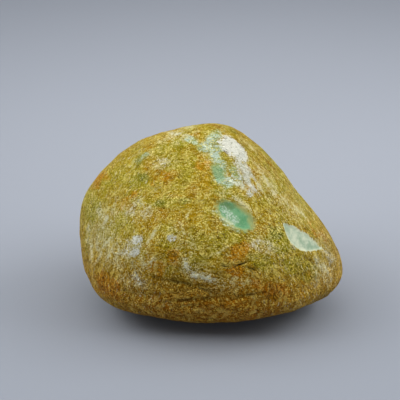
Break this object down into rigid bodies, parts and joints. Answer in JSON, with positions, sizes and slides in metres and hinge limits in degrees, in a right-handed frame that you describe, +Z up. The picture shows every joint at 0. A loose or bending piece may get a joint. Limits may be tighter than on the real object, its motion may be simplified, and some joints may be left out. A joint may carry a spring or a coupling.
{
  "type": "jadeite pebble",
  "caption": "Water-worn jadeite pebble with a weathered ochre skin and shallow green and pale windows. It rests on a small flat spot.",
  "frame": {"origin": "on the surface that the stone rests on, under the middle of its box; it lies inside the small flat spot", "axes": "+X from the broad left end to the nose, +Y from front to back, +Z up"},
  "size_m": [0.08, 0.0646, 0.0607],
  "materials": {
    "weathered_skin": "dull waxy natural skin"
  },
  "bodies": {
    "root": {"pebble": "weathered_skin"}
  },
  "joints": []
}
